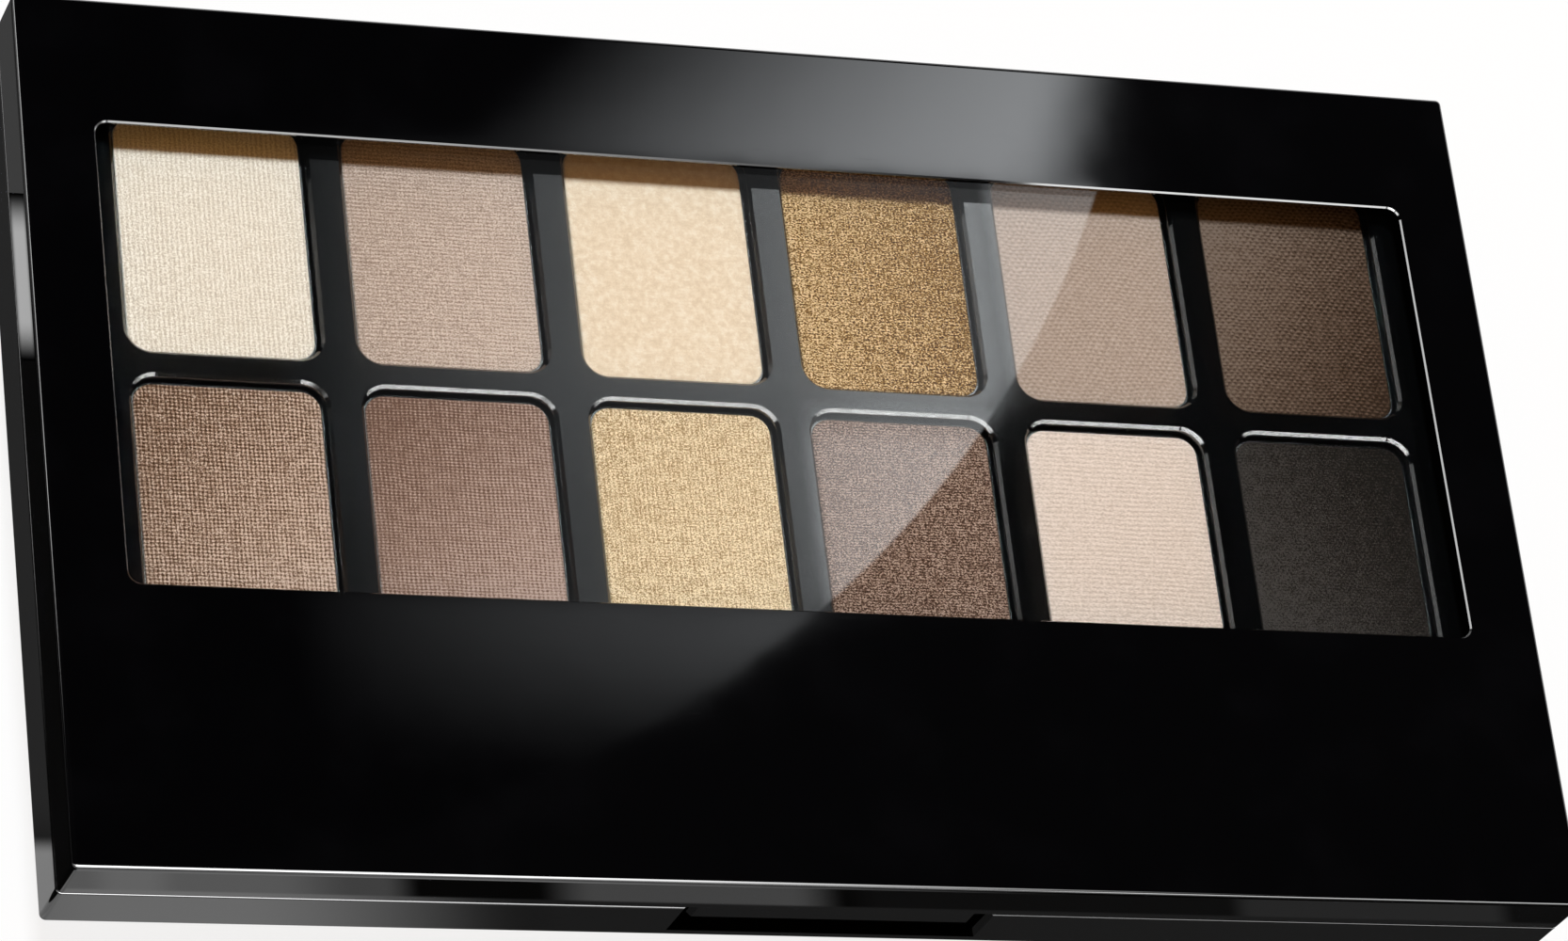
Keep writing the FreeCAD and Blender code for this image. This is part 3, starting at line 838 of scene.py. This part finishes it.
def dish_glow():
    """Glow that is strongest at the dish's right side and top, and nothing at its left and foot."""
    material, finish = new_finish("dish_glow")
    point = finish.node("ShaderNodeTexCoord", output=3)
    x = finish.axis(point, 0)
    y = finish.axis(point, 1)
    across = x - DISH_CENTRE.x
    along = y - DISH_CENTRE.y
    depth = DISH_RADIUS - (across * across + along * along) ** 0.5
    front_right = x.smooth(*DISH_SPOT_LEFT)
    spot = DISH_SPOT_GLOW * front_right * (1 - y.smooth(*DISH_SPOT_TOP))
    veil = x.smooth(*DISH_VEIL_LEFT).larger(front_right * (1 - y.smooth(*DISH_VEIL_TOP)))
    in_tray = ray_kind(finish, "Ray Depth").smooth(WINDOW_TURNS, TRAY_TURNS)
    tray_share = DISH_TRAY_SHARE + DISH_TRAY_GAIN * y.smooth(*DISH_TRAY_RISE)
    part = DISH_WINDOW_SHARE + in_tray * (tray_share - DISH_WINDOW_SHARE)
    share = 1 + (1 - veil) * y.smooth(*DISH_WINDOW) * (part - 1)
    glow = DISH_SLOPE * (x - DISH_LEFT).larger(0) + DISH_RIGHT_GLOW * x.smooth(*DISH_RIGHT) + spot
    glow = glow * share * y.smooth(*DISH_FOOT) * depth.smooth(0, DISH_RIM)
    top_share = (x - y + sum(DISH_TOP) / 2).smooth(*DISH_TOP_LEFT)
    top_glow = DISH_TOP_GLOW * top_share * depth.smooth(0, DISH_TOP_RIM)
    strength = glow + y.smooth(*DISH_TOP) * (top_glow - glow)
    finish.show(finish.node("ShaderNodeEmission", None, {"Color": DISH_TINT, "Strength": strength}))
    return material


def soft_box_glow(name, width, height, glow, soft, later):
    """Even glow of a card that fades towards its edges over the given share of its half size."""
    material, finish = new_finish(name)
    point = finish.node("ShaderNodeTexCoord", output=3)
    across = 1 - (abs(finish.axis(point, 0)) / (width / 2)).smooth(1 - soft, 1)
    along = 1 - (abs(finish.axis(point, 1)) / (height / 2)).smooth(1 - soft, 1)
    strength = glow * across * along
    light = finish.node("ShaderNodeEmission", None, {"Color": colour(1, 1, 1), "Strength": strength})
    passing = finish.node("ShaderNodeBsdfTransparent")
    hidden = (1 - later) * in_later_mirroring(finish)
    finish.show(finish.node("ShaderNodeMixShader", None, {0: hidden, 1: light, 2: passing}))
    return material


def flat_box(name, centre, facing, size, glow, soft, later):
    """Lamp card at a place, turned to face a direction, that only gloss and glass show."""
    width, height = size
    corners = [(x * width / 2, y * height / 2, 0) for x, y in SQUARE]
    box = only_mirrored(card(name, corners, soft_box_glow(name, width, height, glow, soft, later)))
    box.location = centre
    box.rotation_mode = "QUATERNION"
    box.rotation_quaternion = facing.to_track_quat("Z", "Y")
    return box


def soft_box(name, azimuth, elevation, width, height, glow, soft, later):
    """Softbox aimed at the case, with its angles in degrees."""
    turn = math.radians(azimuth)
    lift = math.radians(elevation)
    direction = Vector((math.cos(lift) * math.sin(turn), -math.cos(lift) * math.cos(turn), math.sin(lift)))
    size = [2 * BOX_DISTANCE * math.tan(math.radians(angle) / 2) for angle in (width, height)]
    return flat_box(name, BOX_DISTANCE * direction, -direction, size, glow, soft, later)


def disc_corners(centre, radius, count=96):
    """Corners of a level round card."""
    turns = [TURN * step / count for step in range(count)]
    return [centre + radius * Vector((math.cos(turn), math.sin(turn), 0)) for turn in turns]


def hang_key_lamp():
    """Round key lamp that lights the powders and doesn't show in the gloss."""
    data = bpy.data.lights.new("key_lamp", "AREA")
    data.shape = "DISK"
    data.size = KEY_SIZE
    data.color = KEY_COLOUR
    data.energy = KEY_LEVEL * math.pi ** 2 * KEY_DISTANCE ** 2
    lamp = bpy.data.objects.new("key_lamp", data)
    lamp.location = KEY_DISTANCE * KEY_DIRECTION.normalized()
    lamp.rotation_mode = "QUATERNION"
    lamp.rotation_quaternion = (-KEY_DIRECTION).to_track_quat("-Z", "Y")
    lamp.visible_glossy = False
    bpy.context.scene.collection.objects.link(lamp)


def surround_studio():
    """World with the white wall, its dark gaps and ceiling, the hoop of light and the warm fill."""
    world = bpy.data.worlds.new("studio")
    bpy.context.scene.world = world
    world.use_nodes = True
    studio = Finish(world.node_tree)
    direction = studio.node("ShaderNodeTexCoord", output=0)
    mirrored = ray_kind(studio, "Is Glossy Ray").larger(ray_kind(studio, "Is Transmission Ray"))
    seen = ray_kind(studio, "Is Camera Ray").larger(mirrored)
    later = in_later_mirroring(studio)
    axis_sockets = {0: direction, 1: HOOP_AXIS}
    lift = studio.node("ShaderNodeVectorMath", {"operation": "DOT_PRODUCT"}, axis_sockets, 1)
    azimuth = studio.axis(direction, 0).turn_from(-1 * studio.axis(direction, 1)) * (360 / TURN)
    span = hump(azimuth, *HOOP_SPAN, HOOP_SPAN_SOFT) * (1 - hump(azimuth, *HOOP_GAP, HOOP_GAP_SOFT))
    hoop = HOOP_GLOW * hump(lift, *HOOP_REACH, HOOP_SOFT) * span * later
    gaps = hump(azimuth, *WALL_GAP).larger((1 - later) * hump(azimuth, *WALL_FRONT_GAP))
    dark = studio.axis(direction, 2).smooth(WALL_FOOT, WALL_TOP).larger(gaps)
    wall = 1 - (1 - CEILING_BRIGHTNESS) * dark
    backdrop = studio.node("ShaderNodeBackground", None, {
        "Color": studio.blend(seen, FILL_COLOUR, colour(1, 1, 1)),
        "Strength": FILL_LEVEL + seen * (wall - FILL_LEVEL) + mirrored * hoop,
    })
    studio.node("ShaderNodeOutputWorld", None, {"Surface": backdrop})


def place_camera():
    """Camera at the photograph's viewing angle."""
    data = bpy.data.cameras.new("camera")
    data.lens = CAMERA_LENS
    data.sensor_width = CAMERA_SENSOR
    data.sensor_fit = "HORIZONTAL"
    data.clip_start = CAMERA_NEAREST
    camera = bpy.data.objects.new("camera", data)
    camera.location = CAMERA_PLACE
    camera.rotation_mode = "QUATERNION"
    aim = (CAMERA_TARGET - CAMERA_PLACE).to_track_quat("-Z", "Y")
    camera.rotation_quaternion = aim @ Quaternion((0, 0, 1), CAMERA_ROLL)
    bpy.context.scene.collection.objects.link(camera)
    bpy.context.scene.camera = camera


card("floor", [(x * FLOOR_HALF_SIZE, y * FLOOR_HALF_SIZE, -FLOOR_DROP) for x, y in SQUARE], white_floor())
only_mirrored(card("dish_lamp", disc_corners(DISH_CENTRE, DISH_RADIUS), dish_glow()))
soft_box("front_box", **FRONT_BOX)
soft_box("side_box", **SIDE_BOX)
flat_box("side_glint", GLINT_CENTRE, Vector((0, 0, 1)), GLINT_SIZE, GLINT_GLOW, GLINT_SOFT, GLINT_LATER)
hang_key_lamp()
surround_studio()
place_camera()

bpy.context.scene.view_settings.view_transform = "Standard"
